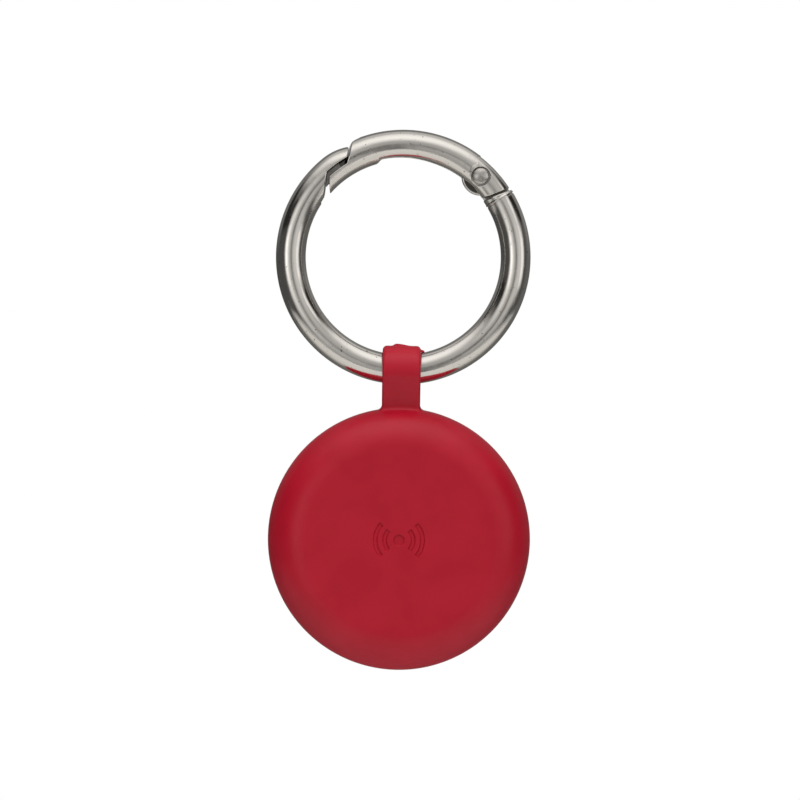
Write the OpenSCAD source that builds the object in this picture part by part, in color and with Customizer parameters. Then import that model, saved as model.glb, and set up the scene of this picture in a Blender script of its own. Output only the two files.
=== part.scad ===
// Bluetooth tracker tag: a spring-gate key ring, a moulded silicone sleeve and a coin-cell tracker.
// Millimetres. +Z is up, +X is to the right as seen from the front, and the front faces -Y.
// The origin is the centre of the key ring, which is the piece that the tag hangs from.

/* [Ring] */
// Radius of the ring, at the middle of its wire
ring_r = 16.3; // [16.2:0.1:16.5]
// How far back the rivet's head sits below the flat of the gate
spot_depth = 0.20; // [0.10:0.05:0.30]

/* [Sleeve] */
// Width of the strap
strap_w = 5.55; // [4.6:0.05:6.2]
// Depth of the mark pressed into the front
mark_depth = 0.25; // [0.1:0.05:0.6]

/* [Tracker] */
// Height of the sound coil
coil_h = 1.40; // [0.8:0.1:1.6]
// Thickness of the foam between the cover and the cell
foam_t = 0.13; // [0.05:0.01:0.18]

/* [Hidden] */
$fn = 96;
EPS = 0.01;
FAR = 30;

// ---- Key ring ----
wire_r = 2.17;
ring_out = ring_r + wire_r;
ring_in = ring_r - wire_r;

// Pivot: a rivet through two cheeks of the gate and one tongue of the body
pivot_a = 47.1;
pivot_r = 16.13;
collar_a = 31.6;
collar_r = 2.23;
joint_dir = 22.3;
gate_end = 3.13;
gate_sweep = 3.20;
collar_face = 3.43;
tongue_r = 2.72;
tongue_t = 1.30;
tongue_out = 18.1;
fork_w = 1.50;
fork_r = 2.95;
cheek_t = 3.90;
cheek_a = 53;
rivet_r = 0.85;
rivet_hole_r = 0.90;
head_r = 1.23;
head_h = 0.36;
spot_r = 1.42;

// Lap joint where the gate closes against the body, outer half body and inner half gate
nose_out = [117.3, 17.9];
nose_in = [121.5, 16.55];
nose_under = 16.5;
nose_a = 130;
nose_shift = 10.8;
nose_r = 7.75;
face_out = [132.6, 16.63];
face_in = [143.2, 14.50];
lap_out = [116.84, 17.83];
lap_in = [123.4, 15.82];
lap_r = 15.75;
lap_lean = 8;
tip_out = [134.1, 15.75];
tip_in = [139.7, 14.20];
lap_round_a = 111;
lap_round_r = 2.9;
bump_a0 = 104.4;
bump_wire = 1.95;
bump_r = 15.95;
waist_a0 = 58;
waist_r = 13.22;
waist_shift = 1.36;
waist_dir = 111;
channel_top = 16.95;

// Key on the gate's tip, and the keyway in the body that it closes into
key_in = 15.1;
key_out = 16.8;
key_end = -11.6;
key_w = 1.2;
key_step_a = 125.4;
key_step = 0.2;
keyway_out = 17.1;
keyway_end = -12.0;
keyway_w = 1.8;

// Leaf spring in the gate's channel
leaf_t = 0.25;
leaf_w = 1.10;
leaf_a0 = 60;
leaf_a1 = 99;
leaf_foot = [56.6, 15.0];

// ---- Sleeve ----
disc_z = -40.85;
disc_r = 19.0;
sleeve_front = -5.4;
sleeve_back = 5.0;
front_round = 5.6;
back_round = 1.6;
pocket_r = 16.0;
pocket_front = -3.7;
pocket_round = 2.8;
loop_z = -ring_r;
loop_r = 3.45;
loop_bore = 2.50;
loop_apex = 4.4;
loop_corner = 0.7;
neck_half = 1.5;
neck_top = -22.4;
neck_foot = -23.9;
base_fillet = 0.65;
mark_dot = 0.75;
mark_line = 0.55;
mark_radii = [2.05, 3.40];
mark_half_angle = 42;

// ---- Tracker: z runs from front to back in the modules below ----
puck_r = 15.95;
puck_front = -3.65;
puck_wall = 0.80;
puck_round = 2.75;
puck_split = 1.0;
rear_round = 2.4;
rear_top = 3.9;
cover_hole = 13.0;
seat_z = 2.3;
tray_floor = -0.6;
board_front = -1.65;
board_back = -1.05;
board_r = 13.9;
board_hole = 5.8;
frame_r0 = 14.05;
frame_r1 = 14.9;
frame_front = -1.5;
frame_back = -0.75;
trace_t = 0.08;
magnet_r = 4.0;
cup_r = 5.5;
cup_wall = 0.4;
cup_front = -2.1;
cup_floor = -1.0;
coil_r0 = 4.35;
coil_r1 = 4.75;
cell_r = 10.0;
cell_front = 0.45;
cell_back = 3.65;
can_t = 0.28;
cover_r = 12.6;
cover_back = 4.25;
cover_inner = 3.85;
cover_skirt = 3.3;
cover_ring_front = 3.05;
seal_r = 12.45;
seal_wire = 0.28;
seal_z = 2.62;
contact_a = [35, 145];
contact_span = 22;
leg_at = 7.8;
part_gap = 0.05;

// ================= helpers =================

// A point given as [angle, radius]
function at(p) = p[1] * [cos(p[0]), sin(p[0])];

// The point a fraction k of the way from a to b, which may lie outside them
function along(a, b, k) = a + k * (b - a);

// Where the tangent from point p touches a circle about the origin, on the right (s=1) or left (s=-1)
function touch(p, r, s) =
    let (far = norm(p), base = atan2(p[1], p[0]), turn = acos(r / far))
    r * [cos(base + s * turn), sin(base + s * turn)];

// A pie slice from angle a to angle b
module slice(a, b) {
    steps = ceil((b - a) / 40);
    polygon(concat([[0, 0]], [for (i = [0:steps]) at([a + i * (b - a) / steps, FAR])]));
}

// A flat band between two radii, cut to a slice
module band(r0, r1, a, b) {
    intersection() {
        difference() {
            circle(r1);
            circle(r0);
        }
        slice(a, b);
    }
}

// Stands a drawing up in the plane of the ring, with the given thickness about the middle
module in_ring_plane(thick) {
    rotate([90, 0, 0])
        translate([0, 0, -thick / 2]) linear_extrude(thick) children();
}

// Places a body drawn with z running from front to back at the middle of the disc
module in_disc() {
    translate([0, 0, disc_z]) rotate([-90, 0, 0]) children();
}

// Turns a profile of [radius, z] about the disc's axis
module turned() {
    in_disc() rotate_extrude() children();
}

module slab(z0, z1) {
    translate([0, 0, z0]) linear_extrude(z1 - z0) children();
}

module box2(x0, y0, x1, y1) {
    translate([x0, y0]) square([x1 - x0, y1 - y0]);
}

// ================= key ring =================

module wire(r_mid = ring_r, r_wire = wire_r) {
    rotate([90, 0, 0]) rotate_extrude() translate([r_mid, 0]) circle(r_wire);
}

module wire_arc(r_mid, r_wire, a, b) {
    rotate([90, 0, 0]) rotate_extrude(angle = b - a, start = a) translate([r_mid, 0]) circle(r_wire);
}

pivot = at([pivot_a, pivot_r]);

// Outline of the fixed part, from the collar round to the nose, which is left too long
module body_outline() {
    face_far_in = along(at(face_out), at(face_in), 1.5);
    face_far_out = along(at(face_out), at(face_in), -0.1);
    turn = 360 + collar_a + 10;
    difference() {
        polygon(concat(
            [at([113, 5]), at([113, FAR])],
            [for (i = [0:6]) at([135 + i * (turn - 135) / 6, FAR])],
            [for (i = [6:-1:0]) at([135 + i * (turn - 135) / 6, 5])]
        ));
        intersection() {
            circle(nose_under);
            polygon([face_far_out, face_far_in, at([105, 8]), at([105, 20])]);
        }
        translate(pivot) rotate(joint_dir) box2(-5, -collar_face, 7, 4);
        // the nose curves in a little from the ring
        difference() {
            slice(110, nose_a);
            translate(at([nose_a, nose_shift])) circle(nose_r);
            circle(nose_under);
        }
    }
}

// A block against one side of the line from a to b, leaning so that the gap cannot be seen through
module lap_block(a, b, side) {
    run = b - a;
    rotate([90, 0, 0]) translate(a) rotate(atan2(run[1], run[0])) rotate([-lap_lean, 0, 0])
        translate([-2, side < 0 ? -4 : 0, -4]) cube([norm(run) + 4, 4, 8]);
}

// The tongue that the gate turns on, with its round end about the rivet
module tongue_outline() {
    intersection() {
        union() {
            translate(pivot) circle(tongue_r);
            polygon([
                at([collar_a, ring_in + 0.35]), at([collar_a, FAR]), at([pivot_a, FAR]),
                pivot, at([pivot_a - 7, ring_in + 0.15])
            ]);
        }
        circle(tongue_out);
    }
}

module keyway() {
    in_ring_plane(keyway_w) intersection() {
        circle(keyway_out);
        box2(keyway_end, 4, -5, 20);
    }
}

module ring_body() {
    color("silver") difference() {
        union() {
            difference() {
                intersection() {
                    union() {
                        wire();
                        wire_arc(ring_r, collar_r, collar_a, collar_a + 10);
                    }
                    in_ring_plane(3 * wire_r) body_outline();
                }
                lap_block(at(nose_out), at(nose_in), 1);
                keyway();
            }
            in_ring_plane(tongue_t) tongue_outline();
        }
        in_ring_plane(3 * wire_r) translate(pivot) circle(rivet_hole_r);
    }
}

// Outline of the gate: its outer half is left too long and its inner half runs on beneath the nose
module gate_outline() {
    tip_far_out = along(at(tip_out), at(tip_in), -0.3);
    tip_far_in = along(at(tip_out), at(tip_in), 1.8);
    difference() {
        union() {
            polygon([at([28, 5]), at([28, FAR]), at([75, FAR]), at([122, FAR]), at([122, 5])]);
            intersection() {
                circle(lap_r);
                polygon([at([100, 5]), at([100, FAR]), tip_far_out, tip_far_in]);
            }
        }
        // the end by the collar, and its inner corner, which would strike the collar as the gate opens
        translate(pivot) rotate(joint_dir) box2(-FAR, -FAR, FAR, -gate_end);
        difference() {
            translate(pivot) rotate(joint_dir) box2(-5, -FAR, 0, 0);
            translate(pivot) circle(gate_sweep);
            slice(40, 150);
        }
        // the rounded outer corner by the nose
        difference() {
            slice(lap_round_a, 125);
            translate(at([lap_round_a, ring_out - lap_round_r])) circle(lap_round_r);
            circle(lap_r + 0.6);
        }
        // the waist, where the inner edge is dressed back
        intersection() {
            translate(at([waist_dir, waist_shift])) circle(waist_r);
            slice(waist_a0, bump_a0);
        }
    }
}

// The slot between the cheeks, and the channel that holds the spring
module gate_slot_outline() {
    translate(pivot) circle(fork_r);
    slice(20, pivot_a);
    intersection() {
        circle(channel_top);
        slice(40, bump_a0 - 1);
    }
}

module gate_flats() {
    for (s = [-1, 1])
        rotate([90, 0, 0]) translate([0, 0, s * (cheek_t / 2 + FAR / 2)])
            linear_extrude(FAR, center = true) slice(20, cheek_a);
}

// The outer half of the gate's end, which stops at the nose; the inner half is below it
module lap_step() {
    difference() {
        lap_block(at(lap_out), at(lap_in), -1);
        in_ring_plane(9) circle(lap_r);
    }
}

module gate_key() {
    back = key_w / 2;
    for (part = [[bump_a0 + 8, key_step, back], [key_step_a, -back, key_step + EPS]])
        translate([0, (part[1] + part[2]) / 2, 0]) in_ring_plane(part[2] - part[1]) intersection() {
            band(key_in, key_out, part[0], 142);
            box2(key_end, 4, 0, 20);
        }
}

module ring_gate() {
    color("gainsboro") difference() {
        intersection() {
            union() {
                wire();
                wire_arc(bump_r, bump_wire, bump_a0, 150);
            }
            in_ring_plane(3 * wire_r) gate_outline();
        }
        in_ring_plane(fork_w) gate_slot_outline();
        gate_flats();
        lap_step();
        in_ring_plane(3 * wire_r) translate(pivot) circle(rivet_r);
        for (s = [-1, 1])
            translate([pivot[0], s * cheek_t / 2, pivot[1]]) rotate([90, 0, 0])
                cylinder(h = 2 * spot_depth, r = spot_r, center = true);
    }
    color("gainsboro") gate_key();
}

module rivet_head(s) {
    dome_r = (head_r * head_r + head_h * head_h) / (2 * head_h);
    translate([pivot[0], s * (cheek_t / 2 - spot_depth), pivot[1]]) rotate([-90 * s, 0, 0])
        rotate_extrude() intersection() {
            translate([0, head_h - dome_r]) circle(dome_r, $fn = 240);
            box2(0, 0, head_r + 1, head_h + 1);
        }
}

module gate_rivet() {
    color("lightsteelblue") {
        in_ring_plane(cheek_t - 2 * spot_depth) translate(pivot) circle(rivet_r);
        rivet_head(1);
        rivet_head(-1);
    }
}

module gate_spring() {
    leaf_top = channel_top - part_gap;
    color("dimgray") {
        in_ring_plane(leaf_w) band(leaf_top - leaf_t, leaf_top, leaf_a0, leaf_a1);
        in_ring_plane(leaf_w) polygon([
            at([leaf_a0 + 0.5, leaf_top - 0.1 * leaf_t]), at(leaf_foot),
            at([leaf_foot[0] + 1, leaf_foot[1]]), at([leaf_a0 + 1.7, leaf_top - 0.5 * leaf_t])
        ]);
    }
}

// ================= sleeve =================

module cup_profile() {
    difference() {
        union() {
            box2(0, sleeve_front, disc_r - front_round, sleeve_back - back_round);
            intersection() {
                translate([disc_r - front_round, sleeve_front + front_round]) circle(front_round);
                box2(0, sleeve_front, disc_r, sleeve_front + front_round);
            }
            box2(0, sleeve_front + front_round, disc_r, sleeve_back - back_round);
            box2(0, sleeve_back - back_round - EPS, disc_r - back_round, sleeve_back);
            translate([disc_r - back_round, sleeve_back - back_round]) circle(back_round);
        }
        box2(-1, pocket_front, pocket_r - pocket_round, sleeve_back + 1);
        translate([pocket_r - pocket_round, pocket_front + pocket_round]) circle(pocket_round);
        box2(-1, pocket_front + pocket_round, pocket_r, sleeve_back + 1);
    }
}

// Side view of the strap: x is the depth and y is the height above the loop's axis
module strap_side() {
    shoulder = [neck_half, neck_top - loop_z];
    right = touch(shoulder, loop_r, 1);
    tilt = acos(loop_bore / loop_apex);
    hip = loop_bore * [sin(tilt), -cos(tilt)];
    difference() {
        union() {
            circle(loop_r);
            polygon([
                right, shoulder, [neck_half, neck_foot - loop_z],
                [-neck_half, neck_foot - loop_z], [-shoulder[0], shoulder[1]], [-right[0], right[1]]
            ]);
        }
        circle(loop_bore);
        polygon([[0, -loop_apex], hip, [0, 0], [-hip[0], hip[1]]]);
    }
}

// Front view of the strap, with fillets where it runs into the disc
module strap_front() {
    half = strap_w / 2;
    top = loop_z + loop_r + EPS;
    fillet_x = half + base_fillet;
    fillet_z = disc_z + sqrt(pow(disc_r + base_fillet, 2) - fillet_x * fillet_x);
    box2(-half, neck_foot, half, top - loop_corner);
    box2(loop_corner - half, top - loop_corner - EPS, half - loop_corner, top);
    for (s = [-1, 1]) {
        translate([s * (half - loop_corner), top - loop_corner]) circle(loop_corner);
        difference() {
            translate([s * (half + base_fillet / 2 - EPS), (fillet_z + neck_foot) / 2])
                square([base_fillet + 2 * EPS, fillet_z - neck_foot], center = true);
            translate([s * fillet_x, fillet_z]) circle(base_fillet);
        }
    }
}

// A generic radio mark: a dot with two waves on each side
module radio_mark() {
    circle(mark_dot);
    for (r = mark_radii, turn = [0, 180])
        rotate(turn) band(r - mark_line / 2, r + mark_line / 2, -mark_half_angle, mark_half_angle);
}

module sleeve() {
    color("crimson") difference() {
        union() {
            turned() cup_profile();
            intersection() {
                translate([-FAR / 2, 0, loop_z]) rotate([90, 0, 90])
                    linear_extrude(FAR) strap_side();
                in_ring_plane(4 * loop_r) strap_front();
            }
        }
        in_disc() slab(sleeve_front - 1, sleeve_front + mark_depth) radio_mark();
    }
}

// ================= tracker housing =================

module front_shell() {
    inner_round = puck_round - puck_wall;
    corner = [puck_r - puck_round, puck_front + puck_round];
    inner_r = puck_r - puck_wall;
    color("white") turned() difference() {
        union() {
            box2(0, puck_front, corner[0], puck_split);
            translate(corner) circle(puck_round);
            box2(0, corner[1], puck_r, puck_split);
        }
        box2(-1, puck_front + puck_wall, corner[0], 3);
        translate(corner) circle(inner_round);
        box2(-1, corner[1], inner_r, 3);
    }
}

module rear_shell() {
    corner = [puck_r - rear_round, rear_top - rear_round];
    skirt_r = 15.1;
    color("snow") turned() difference() {
        union() {
            intersection() {
                translate(corner) circle(rear_round);
                box2(corner[0], -1, FAR, rear_top);
            }
            box2(11.6, 0, corner[0], rear_top);
            box2(11.6, 0, puck_r, corner[1]);
        }
        box2(11, seat_z, cover_hole, rear_top + 1);
        polygon([
            [11, -2], [FAR, -2], [FAR, puck_split], [skirt_r, puck_split], [skirt_r, 1.35],
            [13.4, 1.7], [11, 1.7]
        ]);
    }
}

module battery_tray() {
    color("whitesmoke") in_disc() difference() {
        rotate_extrude() polygon([
            [0, tray_floor], [14.8, tray_floor], [14.8, 0.9], [14.1, 0.9], [14.1, 0],
            [11.3, 0], [11.3, 2.9], [10.6, 2.9], [10.6, 0], [0, 0]
        ]);
        slab(tray_floor - 1, 1) positive_slots();
        slab(tray_floor - 1, 1) translate([leg_at, 0]) square([0.4, 1.6], center = true);
    }
}

module positive_slots() {
    for (a = contact_a)
        rotate(a) band(10.15, 10.55, -contact_span / 2 - 1, contact_span / 2 + 1);
}

module antenna_frame() {
    color("beige") in_disc() {
        slab(frame_front, frame_back) difference() {
            circle(frame_r1);
            circle(frame_r0);
        }
    }
}

// ================= circuit board =================

module circuit_board() {
    color("darkgreen") in_disc() slab(board_front, board_back) difference() {
        circle(board_r);
        circle(board_hole);
        for (a = [0:120:240]) rotate(a + 30) translate([board_r + 0.3, 0]) circle(0.9);
    }
}

// A block standing on the front of the board, at the given angle and radius
module on_board(angle, radius, size, turn = 0) {
    in_disc() rotate(angle) translate([radius, 0, board_front - size[2] / 2]) rotate(turn)
        cube(size, center = true);
}

module radio_chip() {
    color("black") on_board(-90, 9.4, [5.6, 5.6, 0.8]);
}

module ranging_module() {
    color("lightgray") {
        on_board(30, 9.5, [5.9, 6.2, 0.9]);
    }
}

module memory_chip() {
    color("dimgray") on_board(150, 9.2, [3.2, 4.4, 0.6]);
}

module sound_chip() {
    color("darkslategray") on_board(100, 8.8, [2.0, 2.0, 0.5]);
}

module motion_sensor() {
    color("slategray") on_board(195, 9.4, [2.0, 2.0, 0.9]);
}

module crystals() {
    color("goldenrod") {
        on_board(-48, 8.2, [1.6, 2.0, 0.4]);
        on_board(-132, 8.2, [1.2, 3.2, 0.6]);
    }
}

module board_passives() {
    color("tan") {
        for (a = [64, 72, 80, 88, 112, 120, 128]) on_board(a, 11.6, [0.6, 1.0, 0.4]);
        for (a = [-62, -68, -112, -118]) on_board(a, 11.9, [1.0, 0.5, 0.4]);
        for (a = [-20, -10, 0, 176, 186, 210, 220]) on_board(a, 12.0, [0.5, 1.0, 0.4]);
        for (a = [60, 76, 92, 172, 182, 215]) on_board(a, 6.7, [0.5, 1.0, 0.35]);
    }
}

module test_pads() {
    color("gold") in_disc() slab(board_back, board_back + trace_t)
        for (a = [60:20:120]) rotate(-a) translate([12.6, 0]) circle(0.55);
}

// ================= sound maker =================

module ring_slab(r0, r1, z0, z1) {
    in_disc() slab(z0, z1) difference() {
        circle(r1);
        circle(r0);
    }
}

module voice_coil() {
    front = puck_front + puck_wall;
    color("chocolate") ring_slab(coil_r0, coil_r1, front, front + coil_h);
}

module magnet_cup() {
    color("darkgray") turned() difference() {
        box2(0, cup_front, cup_r, tray_floor);
        box2(-1, cup_front - 1, cup_r - cup_wall, cup_floor);
    }
}

module speaker_magnet() {
    color("slategray") in_disc() slab(cup_front, cup_floor) circle(magnet_r);
}

module pole_plate() {
    color("silver") in_disc() slab(cup_front - 0.3, cup_front) circle(magnet_r);
}

// ================= antennas =================

module antenna_arc(a, b) {
    color("orange") in_disc() slab(frame_front - trace_t, frame_front) band(14.15, 14.75, a, b);
}

module radio_antenna() {
    antenna_arc(-80, 5);
}

module ranging_antenna() {
    antenna_arc(50, 130);
}

module tap_coil() {
    color("orange") in_disc() slab(board_front - trace_t, board_front)
        for (r = [12.75:0.25:13.5]) difference() {
            circle(r + 0.07);
            circle(r - 0.07);
        }
}

// ================= battery contacts =================

module contact_negative() {
    arm_t = 0.15;
    tip_at = 4.6;
    color("khaki") in_disc() {
        slab(0, arm_t) {
            circle(1.7);
            for (a = [0:120:240]) rotate(a) translate([0, -0.6]) square([tip_at + 0.9, 1.2]);
            translate([0, -0.6]) square([leg_at + 0.12, 1.2]);
        }
        for (a = [0:120:240]) rotate(a) translate([tip_at, 0, arm_t])
            cylinder(h = cell_front - arm_t - part_gap, r1 = 0.6, r2 = 0.4);
        translate([leg_at, 0, (board_back + arm_t) / 2])
            cube([0.24, 1.2, arm_t - board_back], center = true);
    }
}

module contacts_positive() {
    color("khaki") in_disc() for (a = contact_a) rotate(a) {
        slab(board_back, 2.6) band(10.25, 10.45, -contact_span / 2, contact_span / 2);
        slab(1.2, 1.9) band(cell_r + part_gap, 10.3, -4, 4);
    }
}

// ================= coin cell =================

module cell_can() {
    crimp = 0.4;
    color("silver") turned() difference() {
        union() {
            box2(0, cell_front + 0.1, cell_r - crimp, cell_back);
            box2(0, cell_front + 0.1 + crimp, cell_r, cell_back - crimp);
            for (z = [cell_front + 0.1 + crimp, cell_back - crimp])
                translate([cell_r - crimp, z]) circle(crimp);
        }
        box2(-1, cell_front + 0.1 + can_t, cell_r - can_t, cell_back - can_t);
        box2(-1, cell_front - 1, 9.3, cell_back - can_t);
    }
}

module cell_cap() {
    color("lightgray") turned() polygon([
        [0, cell_front], [8.5, cell_front], [8.85, 0.75], [8.9, 1.05], [9.0, 1.9],
        [8.8, 1.9], [8.7, 1.15], [8.45, 0.7], [0, 0.7]
    ]);
}

module cell_gasket() {
    color("black") turned() polygon([
        [9.0, 0.6], [9.28, 0.6], [9.28, 0.9], [9.66, 0.9], [9.66, 2.3], [9.05, 2.3], [8.95, 1.0]
    ]);
}

module cell_anode() {
    color("gray") in_disc() slab(0.7, 1.4) circle(8.0);
}

module cell_separator() {
    color("white") in_disc() slab(1.4, 1.5) circle(8.6);
}

module cell_cathode() {
    color("dimgray") in_disc() slab(1.5, cell_back - can_t) circle(8.5);
}

// ================= battery cover =================

module cover_seal() {
    color("darkgray") turned() translate([seal_r, seal_z]) circle(seal_wire);
}

module battery_cover() {
    round_r = 0.6;
    corner = [cover_r - round_r, cover_back - round_r];
    color("lightgray") turned() difference() {
        union() {
            box2(0, cover_skirt, corner[0], cover_back);
            box2(0, cover_skirt, cover_r, corner[1]);
            intersection() {
                translate(corner) circle(round_r);
                box2(0, cover_skirt, FAR, FAR);
            }
        }
        box2(-1, cover_skirt - 1, cover_r - 0.4, cover_inner);
    }
}

module cover_ring() {
    color("white") in_disc() {
        slab(cover_ring_front, cover_inner) difference() {
            circle(cover_r - 0.4);
            circle(11.4);
        }
        slab(cover_ring_front, cover_ring_front + 0.2)
            for (a = [0:120:240]) band(12, 12.75, a + 78, a + 102);
    }
}

module foam_pad() {
    color("darkslateblue") in_disc() slab(cover_inner - foam_t, cover_inner) circle(5.0);
}

// ================= assembly =================

ring_body();
ring_gate();
gate_rivet();
gate_spring();
sleeve();
front_shell();
rear_shell();
battery_tray();
antenna_frame();
circuit_board();
radio_chip();
ranging_module();
memory_chip();
sound_chip();
motion_sensor();
crystals();
board_passives();
test_pads();
voice_coil();
magnet_cup();
speaker_magnet();
pole_plate();
radio_antenna();
ranging_antenna();
tap_coil();
contact_negative();
contacts_positive();
cell_can();
cell_cap();
cell_gasket();
cell_anode();
cell_separator();
cell_cathode();
cover_seal();
battery_cover();
cover_ring();
foam_pad();
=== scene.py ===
"""A bluetooth tracker tag on its spring-gate ring, in a plain white studio."""

import math

import bpy
import numpy as np
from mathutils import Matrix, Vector


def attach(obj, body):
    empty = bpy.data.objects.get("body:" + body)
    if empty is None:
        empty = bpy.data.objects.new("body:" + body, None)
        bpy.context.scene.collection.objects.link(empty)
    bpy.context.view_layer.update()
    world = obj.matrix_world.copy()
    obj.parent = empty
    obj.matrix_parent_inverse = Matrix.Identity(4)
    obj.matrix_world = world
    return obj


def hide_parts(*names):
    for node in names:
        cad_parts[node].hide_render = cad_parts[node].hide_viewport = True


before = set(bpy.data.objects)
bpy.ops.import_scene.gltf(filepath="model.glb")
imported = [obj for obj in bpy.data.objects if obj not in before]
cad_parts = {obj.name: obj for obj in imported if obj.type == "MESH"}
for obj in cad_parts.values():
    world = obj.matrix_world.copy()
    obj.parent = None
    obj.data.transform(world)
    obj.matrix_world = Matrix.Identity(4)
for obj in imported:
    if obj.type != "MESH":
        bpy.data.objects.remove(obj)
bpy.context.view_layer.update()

MM = 0.001

# The ring's wire, in millimetres, which the strap's loop goes round
RING_R, WIRE_R = 16.3, 2.17

# ================= signed distances, in millimetres =================


def length(*parts):
    return np.sqrt(sum(p * p for p in parts))


def at(angle, radius):
    """The place at an angle and a radius round the ring's centre, as x and z."""
    return radius * math.cos(math.radians(angle)), radius * math.sin(math.radians(angle))


def overlap(first, *others):
    """Where all the shapes overlap, with sharp edges."""
    for other in others:
        first = np.maximum(first, other)
    return first


def round_both(a, b, r):
    """Where a and b overlap, with the edge between them rounded to radius r."""
    return np.minimum(-r, np.maximum(a, b)) + length(np.maximum(a + r, 0), np.maximum(b + r, 0))


def round_either(a, b, r):
    """a and b together, with the corner between them filled to radius r."""
    return np.maximum(r, np.minimum(a, b)) - length(np.maximum(r - a, 0), np.maximum(r - b, 0))


def ramp(x, low, high):
    """0 below low, 1 above high, and smooth between."""
    t = np.clip((x - low) / (high - low), 0, 1)
    return t * t * (3 - 2 * t)


def right_of(x, z, start, end):
    """Distance to the line from start to end: negative on its left, positive on its right."""
    dx, dz = end[0] - start[0], end[1] - start[1]
    return ((x - start[0]) * dz - (z - start[1]) * dx) / math.hypot(dx, dz)


def past(x, z, angle):
    """Distance past a line from the ring's centre: negative on its anticlockwise side."""
    return right_of(x, z, (0, 0), at(angle, 1))


def two_balls(x, z, r_top, r_low, drop):
    """A flat outline round a circle at the origin and a smaller one a distance drop below it."""
    slope = (r_top - r_low) / drop
    side = math.sqrt(1 - slope * slope)
    x = np.abs(x)
    down = -z
    k = -slope * x + side * down
    flank = x * side + down * slope - r_top
    top = length(x, down) - r_top
    low = length(x, down - drop) - r_low
    return np.where(k < 0, top, np.where(k > side * drop, low, flank))


def rounded_box(x, y, half_x, half_y, r):
    """Distance to a flat box with rounded corners; r may be an array."""
    a, b = np.abs(x) - half_x + r, np.abs(y) - half_y + r
    return np.minimum(np.maximum(a, b), 0) + length(np.maximum(a, 0), np.maximum(b, 0)) - r


# ================= meshes from signed distances =================

SETTLE_TURNS = 3
LARGEST_MOVE = 0.06
SLOPE_STEP, NORMAL_STEP = 0.004, 0.02
FLATTEST, TINY = 0.25, 1e-9


def steps(*stops):
    """Grid values that run through (start, spacing) pairs and end at the last number."""
    values = []
    for (start, gap), stop in zip(stops[:-1], [s[0] for s in stops[1:-1]] + [stops[-1]]):
        n = max(1, round((stop - start) / gap))
        values.append(np.linspace(start, stop, n, endpoint=False))
    return np.append(np.concatenate(values), stops[-1])


def either_side(axis, rest):
    """Indices of the grid samples before and after each step along an axis."""
    low, high = [rest] * 3, [rest] * 3
    low[axis], high[axis] = slice(None, -1), slice(1, None)
    return tuple(low), tuple(high)


def cell_points(field, axes):
    """A point in each cell that the surface crosses, and a grid of the points' numbers."""
    inside = field < 0
    cells = tuple(n - 1 for n in field.shape)
    total, count = np.zeros(cells + (3,)), np.zeros(cells)
    for axis in range(3):
        low, high = either_side(axis, slice(None))
        crossed = inside[low] != inside[high]
        share = np.where(crossed, field[low] / np.where(crossed, field[low] - field[high], 1), 0)
        spots = []
        for k in range(3):
            values = axes[k].reshape([-1 if n == k else 1 for n in range(3)])
            if k == axis:
                values = np.take(values, range(len(axes[k]) - 1), k) + share * np.diff(values, axis=k)
            spots.append(np.broadcast_to(values, share.shape))
        u, v = [k for k in range(3) if k != axis]
        for a in (0, 1):
            for b in (0, 1):
                cut = [slice(None)] * 3
                cut[u] = slice(a, a + cells[u])
                cut[v] = slice(b, b + cells[v])
                hit = crossed[tuple(cut)]
                count += hit
                for k in range(3):
                    total[..., k] += np.where(hit, spots[k][tuple(cut)], 0)
    used = count > 0
    number = np.full(cells, -1)
    number[used] = np.arange(used.sum())
    return total[used] / count[used][:, None], number


def cell_quads(inside, number):
    """A quad of four cells' points round each grid edge that the surface crosses."""
    quads = []
    for axis in range(3):
        u, v = [k for k in range(3) if k != axis]
        low, high = either_side(axis, slice(1, -1))
        first, second = inside[low], inside[high]
        where = np.argwhere(first != second)
        where[:, u] += 1
        where[:, v] += 1
        corners = []
        for a, b in ((1, 1), (0, 1), (0, 0), (1, 0)):
            cell = where.copy()
            cell[:, u] -= a
            cell[:, v] -= b
            corners.append(number[tuple(cell.T)])
        quad = np.stack(corners, 1)
        outward = first[first != second]
        flip = outward if axis == 1 else ~outward
        quad[flip] = quad[flip][:, ::-1]
        quads.append(quad)
    return np.concatenate(quads)


def surface_net(sdf, xs, ys, zs):
    """Points and quads of the surface where sdf is zero, on a grid that may be uneven."""
    field = np.stack([sdf(*np.meshgrid([x], ys, zs, indexing="ij"))[0] for x in xs])
    points, number = cell_points(field, (xs, ys, zs))
    return points, cell_quads(field < 0, number)


def gradient(sdf, p, step):
    sides = []
    for k in range(3):
        ahead, behind = p.copy(), p.copy()
        ahead[:, k] += step
        behind[:, k] -= step
        sides.append((sdf(*ahead.T) - sdf(*behind.T)) / (2 * step))
    return np.stack(sides, 1)


def settle(sdf, points):
    """Moves points in place onto the surface, a small step at a time."""
    for _ in range(SETTLE_TURNS):
        slope = gradient(sdf, points, SLOPE_STEP)
        size = np.maximum((slope * slope).sum(1), FLATTEST)
        move = sdf(*points.T)[:, None] * slope / size[:, None]
        points -= np.clip(move, -LARGEST_MOVE, LARGEST_MOVE)


def smooth_mesh(name, points, quads, normals):
    mesh = bpy.data.meshes.new(name)
    mesh.vertices.add(len(points))
    mesh.vertices.foreach_set("co", (points * MM).ravel())
    mesh.loops.add(quads.size)
    mesh.loops.foreach_set("vertex_index", quads.ravel().astype(np.int32))
    mesh.polygons.add(len(quads))
    mesh.polygons.foreach_set("loop_start", np.arange(0, quads.size, 4, dtype=np.int32))
    mesh.update(calc_edges=True)
    mesh.validate()
    mesh.shade_smooth()
    mesh.normals_split_custom_set_from_vertices(normals)
    return mesh


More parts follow.
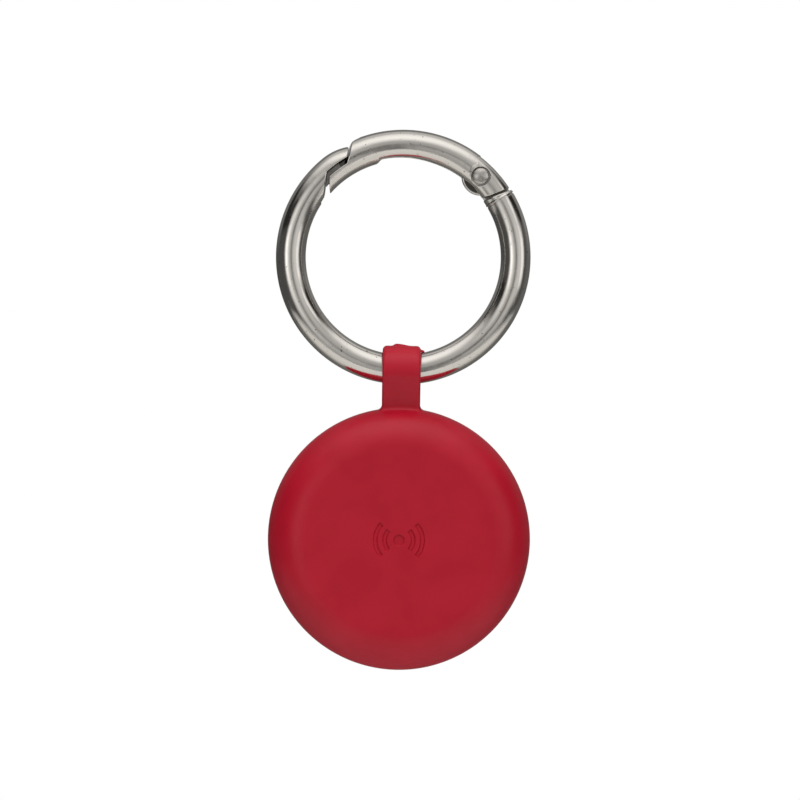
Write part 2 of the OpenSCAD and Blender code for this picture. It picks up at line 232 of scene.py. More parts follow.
def sculpted(name, sdf, grid, body, node, material):
    """A smooth mesh of the surface of sdf, which stands for a CAD node and moves with its body."""
    points, quads = surface_net(sdf, *grid)
    settle(sdf, points)
    normals = gradient(sdf, points, NORMAL_STEP)
    normals /= np.maximum(np.linalg.norm(normals, axis=1), TINY)[:, None]
    mesh = smooth_mesh(name, points, quads, normals)
    mesh.materials.append(material)
    obj = bpy.data.objects.new(name, mesh)
    bpy.context.collection.objects.link(obj)
    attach(obj, body)
    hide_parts(node)


# ================= sleeve =================

# The dish and the tracker's pocket in it
DISC_R, DISC_Z = 19.0, -40.85
SLEEVE_FRONT, SLEEVE_BACK = -5.4, 5.0
FRONT_ROUND, BACK_ROUND = 5.6, 1.6
POCKET_R, POCKET_FRONT, POCKET_ROUND, POCKET_RUN_OUT = 16.0, -3.7, 2.8, 4
LIP_ROUND = 0.25

# The strap: its loop round the ring's wire, the neck below, and the eye through the loop
STRAP_HALF = 5.55 / 2
LOOP_R, NECK_HALF, LOOP_DROP = 3.45, 1.5, 5.6
NECK_TOP, NECK_END = -21.0, -24.0
EYE_R, EYE_TIP_R, EYE_DROP = 2.5, 0.2, 4.1
STRAP_ROUND, LOOP_TOP_ROUND, LOOP_TOP = 0.4, 0.65, (-15.5, -13.5)
ROOT_ROUND = 0.65

# Moulding flash along the top of the loop, and a torn nib at its right corner
FLASH_HEIGHT, FLASH_WIDTH, FLASH_ABOVE = 0.30, 0.45, -14
FLASH_RISE, FLASH_FALL = (-1.5, -0.8), (-0.7, 1.6)
NIB, NIB_R, NIB_ROUND = (2.90, -13.90), 0.50, 0.15

# The radio sign pressed into the front
DOT_R, WAVE_RADII, WAVE_WIDTH, WAVE_SPREAD = 0.75, (2.05, 3.40), 0.55, math.radians(42)
MARK_DEPTH, MARK_EDGE = 0.25, 0.10


def radio_sign(x, z):
    """Distance to the outline of a dot with two waves on each side."""
    far = length(x, z)
    found = far - DOT_R
    wedge = (np.abs(z) - np.abs(x) * math.tan(WAVE_SPREAD)) * math.cos(WAVE_SPREAD)
    for r in WAVE_RADII:
        found = np.minimum(found, np.maximum(np.abs(far - r) - WAVE_WIDTH / 2, wedge))
    return found


def strap_sdf(x, y, z):
    side = two_balls(y, z + RING_R, LOOP_R, NECK_HALF, LOOP_DROP)
    neck = overlap(np.abs(y) - NECK_HALF, z - NECK_TOP, NECK_END - z)
    side = np.minimum(side, neck)
    ridge = ramp(x, *FLASH_RISE) * (1 - ramp(x, *FLASH_FALL)) * np.exp(-(y / FLASH_WIDTH) ** 2)
    side = side - FLASH_HEIGHT * ridge * (z > FLASH_ABOVE)
    edge = STRAP_ROUND + (LOOP_TOP_ROUND - STRAP_ROUND) * ramp(z, *LOOP_TOP)
    strap = round_both(side, np.abs(x) - STRAP_HALF, edge)
    nib = length(x - NIB[0], y, z - NIB[1]) - NIB_R
    return round_either(strap, nib, NIB_ROUND)


def sleeve_sdf(x, y, z):
    up = z - DISC_Z
    far = length(x, up)
    middle, half = (SLEEVE_FRONT + SLEEVE_BACK) / 2, (SLEEVE_BACK - SLEEVE_FRONT) / 2
    cup = rounded_box(far, y - middle, DISC_R, half, np.where(y < middle, FRONT_ROUND, BACK_ROUND))
    body = round_either(cup, strap_sdf(x, y, z), ROOT_ROUND)
    eye = two_balls(y, z + RING_R, EYE_R, EYE_TIP_R, EYE_DROP)
    body = round_both(body, -eye, LIP_ROUND)
    # the pocket's box runs out past the open back, so that only its front corner is round
    pocket_half = (SLEEVE_BACK + POCKET_RUN_OUT - POCKET_FRONT) / 2
    pocket = rounded_box(far, y - (POCKET_FRONT + pocket_half), POCKET_R, pocket_half, POCKET_ROUND)
    body = round_both(body, -pocket, LIP_ROUND)
    return body + MARK_DEPTH * ramp(-radio_sign(x, up), -MARK_EDGE, MARK_EDGE) * (y < middle)


# ================= ring =================

# The rivet, and the joint across the wire by it, which is turned by JOINT_TURN
PIVOT = at(47.1, 16.13)
JOINT_TURN = math.radians(22.3)
RIVET_R, RIVET_HOLE_R = 0.85, 0.90
COLLAR_FACE, GATE_END = 3.43, 3.13
GATE_SWEEP, SWEEP_BELOW_A = 3.20, 40

# The body's collar, a chamfered band with a fine groove, and its tongue in the gate's fork
COLLAR_A, COLLAR_R, COLLAR_ROUND = 31.6, 2.24, 0.06
CHAMFER_FROM, CHAMFER_SLOPE = 0.12, 0.34
GROOVE_A, GROOVE_HALF, GROOVE_DEPTH, GROOVE_ROUND = 31.3, 0.10, 0.08, 0.05
TONGUE_R, TONGUE_HALF, TONGUE_ROUND = 2.72, 0.65, 0.25
ROOT_A0, ROOT_A1, ROOT_IN, ROOT_OUT = 31, 47, 14.3, 18.1

# The lap where the gate closes against the body's nose. Each line is given by two places on it;
# the nose's and the gate's outer faces also lean a little from front to back.
NOSE_FACE, NOSE_SPLIT = (at(117.3, 17.9), at(121.5, 16.55)), 16.5
BODY_FACE = (at(132.2, 16.63), at(142.7, 14.50))
GATE_FACE, GATE_SPLIT = (at(116.84, 17.83), at(123.4, 15.82)), 15.75
GATE_TIP = (at(133.7, 15.75), at(139.4, 14.20))
LAP_LEAN, LAP_ROUND = 0.14, 0.20
NOSE_A, NOSE_SHIFT = 130, 10.5
SHOULDER_A, SHOULDER_R, SHOULDER_ROUND, SHOULDER_FROM = 111, 2.9, 0.2, 16.35

# The gate's inner half is fuller up to BUMP_A, with a waist cut into its inside
BUMP_A, BUMP_WIRE_R, BUMP_R = 104.4, 1.95, 15.95
WAIST_CENTRE, WAIST_R, WAIST_ROUND = at(111, 1.36), 13.22, 0.12
WAIST_A0, WAIST_A1, WAIST_FADE_A, WAIST_FADE = 58, 106.8, 102.6, 0.55
NO_CUT = 5

# The gate's flat cheeks, the fork between them, the spring's channel and the rivet's spot face
CHEEK_HALF, CHEEK_ROUND, CHEEK_FADE_A, CHEEK_FADE = 1.93, 0.18, (51.6, 54.6), 0.35
CROWN, CROWN_WIDTH = 0.13, 1.1
FORK_R, FORK_HALF, FORK_ROUND, FORK_A = 2.95, 0.75, 0.06, 47
CHANNEL_OUT, CHANNEL_END_A = 16.95, BUMP_A - 1
SPOT, SPOT_R, SPOT_DEPTH, SPOT_ROUND = (PIVOT[0] + 0.05, PIVOT[1] - 0.05), 1.38, 1.50, 0.05

# The gate's key and the body's keyway, hidden in the lap
KEYWAY_HALF, KEYWAY_OUT, KEYWAY_LEFT, KEYWAY_RIGHT = 0.9, 17.1, -12.0, -5
KEY_IN, KEY_OUT, KEY_A, KEY_LEFT, KEY_STEP_A = 15.1, 16.8, 112.4, -11.6, 125.4
KEY_HALF, KEY_FRONT, KEY_ROUND = 0.6, 0.2, 0.08

# The lines above run on right across the ring, so cuts are kept to the part above these heights
BODY_ABOVE, GATE_ABOVE, NOSE_ABOVE = 5, 4, 8

# The rivet's domed heads, and the hammer marks on them: side, place, reach and depth
HEAD_R, HEAD_START, HEAD_EDGE, HEAD_SEAT = 1.23, 1.75, 0.12, 0.03
DOME_R, DOME_DROP, SHANK_OVERLAP = 2.28, 1.92, 0.1
HAMMER_MARKS = ((-1, 0.15, -0.45, 0.45, 0.060), (-1, 0.35, 0.30, 0.45, 0.015), (1, -0.20, 0.30, 0.50, 0.05))


def round_wire(far, y, wire_r=WIRE_R, ring_r=RING_R):
    return length(far - ring_r, y) - wire_r


def from_pivot(x, z):
    """Distances from the rivet: along the joint by the collar, up from it, and straight."""
    x, z = x - PIVOT[0], z - PIVOT[1]
    along = x * math.cos(JOINT_TURN) + z * math.sin(JOINT_TURN)
    up = z * math.cos(JOINT_TURN) - x * math.sin(JOINT_TURN)
    return along, up, length(x, z)


def bent_nose(x, y, z):
    """The ring's wire, which bends in more tightly from NOSE_A on, towards the nose."""
    straight = round_wire(length(x, z), y)
    in_x, in_z = at(NOSE_A, NOSE_SHIFT)
    bent = length(length(x - in_x, z - in_z) - RING_R + NOSE_SHIFT, y) - WIRE_R
    return np.where((past(x, z, NOSE_A) > 0) & (x < 0) & (z > NOSE_ABOVE), bent, straight)


def with_collar(body, x, y, z):
    far = length(x, z)
    _, up, _ = from_pivot(x, z)
    band = np.clip(-past(x, z, COLLAR_A) - CHAMFER_FROM, 0, 1)
    collar = round_wire(far, y, COLLAR_R) + CHAMFER_SLOPE * band
    collar = round_both(collar, np.maximum(past(x, z, COLLAR_A), up + COLLAR_FACE), COLLAR_ROUND)
    body = np.minimum(body, np.maximum(collar, BODY_ABOVE - z))
    groove = np.maximum(np.abs(past(x, z, GROOVE_A)) - GROOVE_HALF, -round_wire(far, y) - GROOVE_DEPTH)
    return round_both(body, -np.maximum(groove, BODY_ABOVE - z), GROOVE_ROUND)


def tongue_sdf(x, y, z):
    far = length(x, z)
    _, _, around = from_pivot(x, z)
    root = overlap(past(x, z, ROOT_A0), -past(x, z, ROOT_A1), far - ROOT_OUT, ROOT_IN - far, BODY_ABOVE - z)
    tongue = np.minimum(np.maximum(around - TONGUE_R, far - ROOT_OUT), root)
    return round_both(tongue, np.abs(y) - TONGUE_HALF, TONGUE_ROUND)


def ring_body_sdf(x, y, z):
    far = length(x, z)
    _, up, around = from_pivot(x, z)
    nose = right_of(x + LAP_LEAN * y, z, *NOSE_FACE)
    gap = np.minimum(nose, np.maximum(right_of(x, z, *BODY_FACE), far - NOSE_SPLIT))
    gap = overlap(gap, -COLLAR_FACE - up, BODY_ABOVE - z)
    body = round_both(bent_nose(x, y, z), -gap, LAP_ROUND)
    body = with_collar(body, x, y, z)
    keyway = overlap(
        np.abs(y) - KEYWAY_HALF, far - KEYWAY_OUT, KEYWAY_LEFT - x, x - KEYWAY_RIGHT, GATE_ABOVE - z,
    )
    body = np.maximum(body, -keyway)
    body = np.minimum(body, tongue_sdf(x, y, z))
    return np.maximum(body, RIVET_HOLE_R - around)


def gate_ends(wire, x, y, z, angle):
    """The gate's wire, cut at the collar and at the lap, with its rounded shoulder by the nose."""
    far = length(x, z)
    along, up, around = from_pivot(x, z)
    lap = right_of(x + LAP_LEAN * y, z, *GATE_FACE)
    keep = np.minimum(lap, np.maximum(far - GATE_SPLIT, right_of(x, z, *GATE_TIP)))
    keep = overlap(keep, -GATE_END - up, GATE_ABOVE - z)
    inner_end = (angle < SWEEP_BELOW_A) & (along < 0)
    keep = np.where(inner_end, np.maximum(keep, around - GATE_SWEEP), keep)
    gate = round_both(wire, keep, LAP_ROUND)
    round_x, round_z = at(SHOULDER_A, RING_R + WIRE_R - SHOULDER_R)
    shoulder = length(x - round_x, z - round_z) - SHOULDER_R
    outer_end = (angle > SHOULDER_A) & (far > SHOULDER_FROM)
    return np.where(outer_end, round_both(gate, shoulder, SHOULDER_ROUND), gate)


def gate_cheeks(gate, x, y, z, angle):
    """The gate with flat cheeks, a little crowned, and the waist on its inside."""
    crown = CROWN * np.maximum(1 - ((length(x, z) - RING_R) / CROWN_WIDTH) ** 2, 0)
    flat = np.abs(y) - CHEEK_HALF - crown - CHEEK_FADE * ramp(angle, *CHEEK_FADE_A)
    gate = round_both(gate, flat, CHEEK_ROUND)
    waist = WAIST_R - length(x - WAIST_CENTRE[0], z - WAIST_CENTRE[1])
    waist = waist - WAIST_FADE * ramp(angle, WAIST_FADE_A, WAIST_A1)
    waist = np.where((angle > WAIST_A0) & (angle < WAIST_A1), waist, -NO_CUT)
    return round_both(gate, waist, WAIST_ROUND)


def gate_hollows(gate, x, y, z, angle):
    """The gate with its fork and spring channel, and the rivet's spot face on each side."""
    _, _, around = from_pivot(x, z)
    fork = np.minimum(around - FORK_R, -past(x, z, FORK_A))
    channel = np.maximum(length(x, z) - CHANNEL_OUT, angle - CHANNEL_END_A)
    slot = np.maximum(np.minimum(fork, channel), np.abs(y) - FORK_HALF)
    gate = round_both(gate, -slot, FORK_ROUND)
    spot = np.maximum(length(x - SPOT[0], z - SPOT[1]) - SPOT_R, SPOT_DEPTH - np.abs(y))
    return round_both(gate, -spot, SPOT_ROUND)


def gate_key(x, y, z, angle):
    far = length(x, z)
    key = overlap(far - KEY_OUT, KEY_IN - far, past(x, z, KEY_A), KEY_LEFT - x, GATE_ABOVE - z)
    depth = np.where(angle > KEY_STEP_A, np.abs(y) - KEY_HALF, np.maximum(y - KEY_HALF, KEY_FRONT - y))
    return round_both(key, depth, KEY_ROUND)


def ring_gate_sdf(x, y, z):
    far = length(x, z)
    angle = np.degrees(np.arctan2(z, x))
    bump = np.maximum(round_wire(far, y, BUMP_WIRE_R, BUMP_R), past(x, z, BUMP_A))
    gate = gate_ends(np.minimum(round_wire(far, y), bump), x, y, z, angle)
    gate = gate_cheeks(gate, x, y, z, angle)
    gate = gate_hollows(gate, x, y, z, angle)
    return np.minimum(gate, gate_key(x, y, z, angle))


def rivet_sdf(x, y, z):
    """Shank with a low hammered head at each end."""
    _, _, around = from_pivot(x, z)
    out = np.abs(y) - HEAD_START
    shank = np.maximum(around - RIVET_R, out - SHANK_OVERLAP)
    dome = length(around, out + DOME_DROP) - DOME_R
    head = round_both(round_both(dome, around - HEAD_R, HEAD_EDGE), -out, HEAD_SEAT)
    for side, dent_x, dent_z, reach, depth in HAMMER_MARKS:
        near = length(x - PIVOT[0] - dent_x, z - PIVOT[1] - dent_z) / reach
        head = head + depth * (1 - ramp(near, 0, 1)) * (y * side > 0)
    return np.minimum(shank, head)


# ================= materials =================


class Nodes:
    """Short names for building a material's nodes."""

    def __init__(self, tree):
        self.tree = tree

    def add(self, kind, **settings):
        node = self.tree.nodes.new("ShaderNode" + kind)
        for key, value in settings.items():
            setattr(node, key, value)
        return node

    def put(self, socket, value):
        if isinstance(value, bpy.types.NodeSocket):
            self.tree.links.new(value, socket)
        elif value is not None:
            socket.default_value = value

    def math(self, operation, a, b=None):
        node = self.add("Math", operation=operation)
        self.put(node.inputs[0], a)
        self.put(node.inputs[1], b)
        return node.outputs[0]

    def spread(self, value, low, high, to_low=0.0, to_high=1.0):
        """A smooth step from to_low to to_high as value goes from low to high."""
        node = self.add("MapRange", interpolation_type="SMOOTHSTEP")
        for socket, v in zip(node.inputs, (value, low, high, to_low, to_high)):
            self.put(socket, v)
        return node.outputs[0]

    def mix(self, share, a, b):
        node = self.add("Mix", data_type="RGBA")
        self.put(node.inputs[0], share)
        self.put(node.inputs[6], a)
        self.put(node.inputs[7], b)
        return node.outputs[2]

    def place(self):
        """The x, y and z of a point in its own object, in metres."""
        split = self.add("SeparateXYZ")
        self.put(split.inputs[0], self.add("TexCoord").outputs["Object"])
        return split.outputs

    def noise(self, scale, detail=2.0, rough=0.5, stretch=None, w=0.0):
        """Noise on the piece's own surface, with scale in features per metre."""
        where = self.add("TexCoord").outputs["Object"]
        if stretch:
            turned = self.add("Mapping")
            turned.inputs["Scale"].default_value = stretch
            self.put(turned.inputs["Vector"], where)
            where = turned.outputs[0]
        node = self.add("TexNoise", noise_dimensions="4D")
        self.put(node.inputs["Vector"], where)
        self.put(node.inputs["W"], w)
        self.put(node.inputs["Scale"], scale)
        self.put(node.inputs["Detail"], detail)
        self.put(node.inputs["Roughness"], rough)
        return node.outputs["Fac"]

    def bump(self, height, depth, strength=1.0, below=None):
        node = self.add("Bump")
        self.put(node.inputs["Height"], height)
        self.put(node.inputs["Distance"], depth)
        self.put(node.inputs["Strength"], strength)
        self.put(node.inputs["Normal"], below)
        return node.outputs[0]


def rgb(r, g, b):
    """A colour given as it shows on screen, from 0 to 255."""
    def straight(v):
        v /= 255
        return v / 12.92 if v <= 0.04045 else ((v + 0.055) / 1.055) ** 2.4
    return (straight(r), straight(g), straight(b), 1.0)


def new_material(name):
    material = bpy.data.materials.new(name)
    material.use_nodes = True
    n = Nodes(material.node_tree)
    shader = material.node_tree.nodes["Principled BSDF"]
    return material, n, shader


def silicone():
    """Red moulded silicone with a soft-touch finish."""
    material, n, shader = new_material("red_silicone")
    cloud = n.spread(n.noise(160, 3), 0.35, 0.65)
    grain = n.noise(9000, 2)
    n.put(shader.inputs["Base Color"], n.mix(cloud, rgb(172, 16, 38), rgb(178, 20, 42)))
    n.put(shader.inputs["Roughness"], n.spread(grain, 0.3, 0.7, 0.32, 0.40))
    n.put(shader.inputs["IOR"], 1.43)
    n.put(shader.inputs["Specular IOR Level"], 0.38)
    n.put(shader.inputs["Normal"], n.bump(grain, 0.006 * MM))
    return material


# Metal colours as shares of the light that comes back; the two darkest are painted shade, for crevices and
# for the slot's inner faces
NICKEL = (0.785, 0.745, 0.692)
PITTED = (0.30, 0.28, 0.25, 1)
CREVICE_SHADE = (0.10, 0.095, 0.085, 1)
SLOT_SHADE = (0.13, 0.12, 0.105, 1)

# Where the painted shade on the slot's inner faces begins and is full, from the middle plane and from the
# rivet, in millimetres
SLOT_SHADE_HALF, SLOT_SHADE_REACH = (0.74, 0.70), (2.50, 2.38)
CREVICE_SHADE_REACH = 1.8


def slot_shade_mask(n):
    """1 on the inner faces of the slot that the rivet passes through, where shade is painted, and 0
    elsewhere.
    """
    x, y, z = n.place()
    off_x = n.math("SUBTRACT", x, PIVOT[0] * MM)
    off_z = n.math("SUBTRACT", z, PIVOT[1] * MM)
    square = n.math("ADD", n.math("MULTIPLY", off_x, off_x), n.math("MULTIPLY", off_z, off_z))
    around = n.math("SQRT", square)
    deep = n.spread(n.math("ABSOLUTE", y), *(edge * MM for edge in SLOT_SHADE_HALF))
    return n.math("MULTIPLY", deep, n.spread(around, *(edge * MM for edge in SLOT_SHADE_REACH)))


def nickel(name, tone=1.0, smooth=0.10, worn=0.20):
    """Polished nickel plate over a casting, with faint waves, fine scratches and pits, and painted shade in
    its crevices and in the rivet's slot.
    """
    material, n, shader = new_material(name)
    wave = n.noise(260, 2)
    scratch = n.noise(700, 4, 0.6, stretch=(1, 6, 1))
    pit = n.spread(n.noise(2600, 2, w=3.0), 0.66, 0.72)
    base = n.mix(pit, tuple(part * tone for part in NICKEL) + (1,), PITTED)
    # painted shade: the metal turns near-black where the occlusion node finds surfaces close by, in
    # corners, gaps and recesses
    crevice_shade = n.add("AmbientOcclusion", samples=8)
    n.put(crevice_shade.inputs["Distance"], CREVICE_SHADE_REACH * MM)
    base = n.mix(n.spread(crevice_shade.outputs["AO"], 0.05, 0.72), CREVICE_SHADE, base)
    # painted shade: the inner faces of the rivet's slot take a dark colour in place of the shade that the
    # cheeks cast there
    n.put(shader.inputs["Base Color"], n.mix(slot_shade_mask(n), base, SLOT_SHADE))
    n.put(shader.inputs["Metallic"], 1.0)
    n.put(shader.inputs["Roughness"], n.spread(scratch, 0.35, 0.75, smooth, worn))
    soft = n.bump(wave, 0.12 * MM, 0.35)
    n.put(shader.inputs["Normal"], n.bump(scratch, 0.008 * MM, 0.5, soft))
    return material


def plain(name, colour, second, rough, metal=0.0, scale=900.0, depth=0.006, stretch=None, coat=0.0):
    """A two-tone surface with fine grain, for the moulded, plated and pressed pieces."""
    material, n, shader = new_material(name)
    cloud = n.noise(scale / 6, 3, w=1.0)
    grain = n.noise(scale, 3, stretch=stretch, w=2.0)
    n.put(shader.inputs["Base Color"], n.mix(n.spread(cloud, 0.3, 0.7), colour, second))
    n.put(shader.inputs["Metallic"], metal)
    n.put(shader.inputs["Roughness"], n.spread(grain, 0.25, 0.75, rough * 0.8, rough * 1.2))
    n.put(shader.inputs["Coat Weight"], coat)
    n.put(shader.inputs["Normal"], n.bump(grain, depth * MM, 0.6))
    return material


# ================= build =================

# Grids in millimetres along x, y and z, finer where the shape has small features
SLEEVE_GRID = (
    steps((-19.3, 0.3), (-4.2, 0.1), (4.2, 0.3), 19.3),
    steps((-5.7, 0.15), 5.4),
    steps((-60.2, 0.3), (-45.2, 0.1), (-36.6, 0.3), (-25.0, 0.12), -12.5),
)
RING_GRID = (
    steps((-18.8, 0.13), (11.2, 0.05), (16.2, 0.1), 18.9),
    steps((-2.6, 0.1), 2.6),
    steps((-18.8, 0.2), (6.8, 0.05), (11.2, 0.12), 18.0),
)
GATE_GRID = steps((-12.0, 0.1), 16.8), steps((-2.6, 0.1), 2.6), steps((7.0, 0.1), 18.8)
RIVET_GRID = steps((9.5, 0.05), 12.5), steps((-2.3, 0.05), 2.3), steps((10.3, 0.05), 13.4)

bright = nickel("nickel")
sculpted("sleeve_skin", sleeve_sdf, SLEEVE_GRID, "holder", "sleeve", silicone())
sculpted("ring_body_skin", ring_body_sdf, RING_GRID, "ring", "ring_body", bright)
sculpted("ring_gate_skin", ring_gate_sdf, GATE_GRID, "gate", "ring_gate", bright)
sculpted("rivet_skin", rivet_sdf, RIVET_GRID, "gate", "gate_rivet", nickel("rivet_steel", 0.74, 0.26, 0.34))

LOOKS = {
    "gate_spring": plain("spring_steel", rgb(120, 120, 122), rgb(90, 90, 94), 0.35, 1.0),
    "front_shell": plain("shell_white", rgb(240, 240, 238), rgb(235, 235, 234), 0.22, coat=0.3),
    "rear_shell": plain("rear_white", rgb(238, 238, 236), rgb(232, 232, 231), 0.24, coat=0.3),
    "battery_tray": plain("tray_plastic", rgb(226, 226, 222), rgb(216, 216, 212), 0.5),
    "antenna_frame": plain("frame_plastic", rgb(214, 210, 198), rgb(202, 198, 186), 0.55),
    "circuit_board": plain("board_laminate", rgb(18, 92, 58), rgb(14, 78, 50), 0.35, coat=0.4),
    "chips": plain("chip_black", rgb(34, 34, 36), rgb(46, 46, 48), 0.5),
    "ranging_module": plain("tin_can", rgb(206, 205, 200), rgb(190, 190, 186), 0.3, 1.0, stretch=(1, 8, 1)),
    "crystals": plain("crystal_can", rgb(214, 196, 140), rgb(200, 182, 128), 0.3, 1.0),
    "board_passives": plain("passive_ceramic", rgb(170, 132, 96), rgb(140, 106, 76), 0.6),
    "test_pads": plain("gold_pad", rgb(230, 190, 96), rgb(216, 172, 82), 0.25, 1.0),
    "copper": plain("copper", rgb(200, 118, 74), rgb(176, 96, 58), 0.3, 1.0),
    "magnet_cup": plain("yoke_steel", rgb(160, 160, 162), rgb(140, 140, 144), 0.35, 1.0),
    "speaker_magnet": plain("magnet_plate", rgb(188, 188, 186), rgb(170, 170, 170), 0.2, 1.0),
    "contacts": plain("contact_plate", rgb(214, 192, 130), rgb(196, 176, 118), 0.28, 1.0),
    "cell_can": plain("cell_steel", rgb(206, 206, 204), rgb(186, 186, 186), 0.26, 1.0, stretch=(1, 1, 12)),
    "cell_gasket": plain("cell_gasket_black", rgb(28, 28, 30), rgb(38, 38, 40), 0.5),
    "cell_anode": plain("lithium", rgb(176, 176, 174), rgb(150, 150, 150), 0.5, 1.0),
    "cell_separator": plain("separator_white", rgb(232, 232, 228), rgb(222, 222, 218), 0.9),
    "cell_cathode": plain("cathode_grey", rgb(40, 40, 42), rgb(54, 54, 56), 0.9),
    "cover_seal": plain("seal_grey", rgb(86, 86, 90), rgb(74, 74, 78), 0.7),
    "battery_cover": plain(
        "cover_steel", rgb(218, 218, 216), rgb(208, 208, 207), 0.16, 1.0, stretch=(10, 1, 1),
    ),
    "cover_ring": plain("cover_plastic", rgb(226, 226, 222), rgb(216, 216, 212), 0.5),
    "foam_pad": plain("foam", rgb(62, 64, 72), rgb(48, 50, 58), 0.95, scale=3000, depth=0.04),
}
# Nodes that have another entry's look
SHARED = {
    "radio_chip": "chips", "memory_chip": "chips", "sound_chip": "chips", "motion_sensor": "chips",
    "voice_coil": "copper", "radio_antenna": "copper", "ranging_antenna": "copper", "tap_coil": "copper",
    "pole_plate": "magnet_cup", "contact_negative": "contacts", "contacts_positive": "contacts",
    "cell_cap": "cell_can",
}

for node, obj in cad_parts.items():
    look = LOOKS.get(SHARED.get(node, node))
    if look:
        obj.data.materials.clear()
        obj.data.materials.append(look)


# ================= studio, in metres =================

FLOOR_R, FLOOR_Y, FLOOR_Z = 0.24, 0.08, -0.12
# The floor as the metal mirrors it has painted shade: bright up to the first y and dark from the second
FLOOR_FADE = (-0.04, 0.065)
ROOM_LEVEL, DARKEST_LEVEL, LENS_SHADE = 0.075, 0.02, 0.55
CAMERA_LENS, SENSOR_WIDTH = 150, 36
FRAME_WIDTH = 0.116
AIM = Vector((-0.00015, 0.0, -0.02072))
LEAN = math.radians(-0.89)


def mirrored_room(n, x, y, z):
    """What the metal mirrors, by direction: a dim room with a roof light, windows and a floor."""

    def patch(level, *edges):
        """A soft-edged patch; each edge is a direction part, where it is dark and where it is lit."""
        for value, dark, lit in edges:
            level = n.math("MULTIPLY", level, n.spread(value, dark, lit))
        return level

    ahead = (y, 0, -0.2)
    off_lens = n.math("ABSOLUTE", n.math("SUBTRACT", x, 0.07))
    patches = (
        # the room on the right and behind, the wall behind the camera, a far window straight behind the tag
        patch(0.06, (x, -0.1, 0.7), (y, -0.3, 0.3)),
        patch(0.11, (y, 0.1, 0.5), (z, 0.0, 0.3)),
        patch(0.34, (y, -0.55, -0.95)),
        patch(0.42, (y, 0.92, 0.98)),
        # the roof light in three steps from back to front, and the floor beyond the table
        patch(0.46, (z, 0.50, 0.90), (y, 0.60, 0.25)),
        patch(0.50, (z, 0.25, 0.80), (y, 0.15, -0.30)),
        patch(0.16, (z, 0.40, 0.65), (y, -0.25, -0.60)),
        patch(0.42, (z, -0.38, -0.47), (y, 0.85, 0.05), (y, -0.88, -0.62)),
        # a window and its glow on the left
        patch(0.45, (x, -0.80, -0.62), (x, -0.36, -0.52), (z, -0.12, 0.02), (z, 0.22, 0.08), ahead),
        patch(0.62, (x, -0.75, -0.55), (x, -0.05, -0.50), (z, -0.40, 0.0), (z, 0.48, 0.10), ahead),
        # a window, its glow and a smaller window above it on the right
        patch(0.55, (x, 0.62, 0.74), (x, 0.96, 0.84), (z, -0.24, -0.08), (z, 0.34, 0.16), ahead),
        patch(0.42, (x, 0.05, 0.70), (x, 0.95, 0.80), (z, -0.34, -0.02), (z, 0.50, 0.18), ahead),
        patch(0.64, (x, 0.50, 0.64), (x, 0.80, 0.70), (z, 0.24, 0.32), (z, 0.56, 0.48), ahead),
        # where the walls hide the roof light's edge, on the left and on the right
        patch(-0.15, (x, -0.55, -0.75), (z, 0.20, 0.35), (z, 0.72, 0.55), (y, 0.4, 0.1)),
        patch(-0.38, (x, 0.50, 0.75), (z, 0.30, 0.45), (z, 0.90, 0.72), (y, -0.60, -0.25), (y, 0.25, 0.05)),
    )
    total = ROOM_LEVEL
    for light in patches:
        total = n.math("ADD", total, light)
    # the camera and its stand are dark against the wall
    lens = patch(LENS_SHADE, (off_lens, 0.13, 0.04), (z, -0.64, -0.50), (z, 0.14, 0.02), ahead)
    total = n.math("MULTIPLY", total, n.math("SUBTRACT", 1.0, lens))
    return n.math("MAXIMUM", total, DARKEST_LEVEL)


def studio_world():
    """White to the camera, and the dim room to every other ray."""
    world = bpy.data.worlds.new("studio")
    bpy.context.scene.world = world
    world.use_nodes = True
    n = Nodes(world.node_tree)
    split = n.add("SeparateXYZ")
    n.put(split.inputs[0], n.add("TexCoord").outputs["Generated"])
    mixed = n.add("Mix", data_type="FLOAT")
    n.put(mixed.inputs[0], n.add("LightPath").outputs["Is Camera Ray"])
    n.put(mixed.inputs[2], mirrored_room(n, *split.outputs))
    n.put(mixed.inputs[3], 1.0)
    backdrop = world.node_tree.nodes["Background"]
    n.put(backdrop.inputs["Color"], (1, 1, 1, 1))
    n.put(backdrop.inputs["Strength"], mixed.outputs[0])


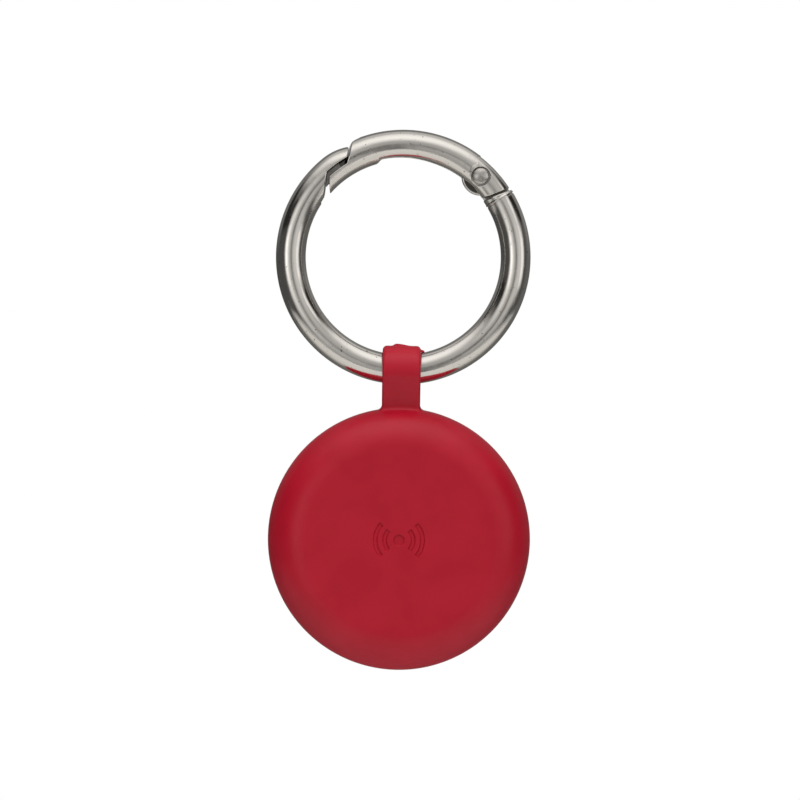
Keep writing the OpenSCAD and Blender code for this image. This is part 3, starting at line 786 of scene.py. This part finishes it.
def floor():
    """A pale table top; to the metal's mirror rays it has painted shade, darker towards the back."""
    material, n, shader = new_material("floor_paper")
    pale = n.mix(n.noise(40, 3), (0.80, 0.80, 0.80, 1), (0.84, 0.84, 0.84, 1))
    _, y, _ = n.place()
    back = n.spread(y, *(edge - FLOOR_Y for edge in FLOOR_FADE))
    # painted shade: the floor that the metal mirrors turns from pale to dark towards the back
    mirrored_shade = n.mix(back, (0.78, 0.78, 0.76, 1), (0.17, 0.17, 0.165, 1))
    mirrored = n.add("LightPath").outputs["Is Glossy Ray"]
    n.put(shader.inputs["Base Color"], n.mix(mirrored, pale, mirrored_shade))
    n.put(shader.inputs["Roughness"], 0.8)
    bpy.ops.mesh.primitive_circle_add(
        vertices=96, radius=FLOOR_R, fill_type="NGON", location=(0, FLOOR_Y, FLOOR_Z),
    )
    obj = bpy.context.object
    obj.name = "floor"
    obj.data.materials.append(material)


def lamp(name, place, aim, size, power):
    """A square softbox that lights the silicone and the plastics; the metal mirrors the room instead."""
    data = bpy.data.lights.new(name, "AREA")
    data.size, data.energy = size, power
    obj = bpy.data.objects.new(name, data)
    bpy.context.collection.objects.link(obj)
    obj.location = place
    obj.rotation_euler = (Vector(aim) - Vector(place)).to_track_quat("-Z", "Y").to_euler()
    obj.visible_camera = False
    obj.visible_glossy = False


def camera():
    data = bpy.data.cameras.new("camera")
    data.lens = CAMERA_LENS
    data.sensor_width = SENSOR_WIDTH
    data.clip_start = 0.01
    obj = bpy.data.objects.new("camera", data)
    bpy.context.collection.objects.link(obj)
    away = FRAME_WIDTH * CAMERA_LENS / SENSOR_WIDTH
    obj.location = AIM + Vector((0, -away, 0))
    obj.rotation_euler = (math.radians(90), LEAN, 0)
    bpy.context.scene.camera = obj


studio_world()
floor()
lamp("front_softbox", place=(0, -0.34, 0.24), aim=(0, 0, -0.03), size=0.30, power=0.54)
lamp("roof_softbox", place=(0, -0.05, 0.40), aim=(0, 0, -0.03), size=0.40, power=0.80)
lamp("table_bounce", place=(0, -0.10, -0.115), aim=(0, -0.10, 0), size=0.30, power=0.030)
camera()
bpy.context.scene.view_settings.view_transform = "Standard"
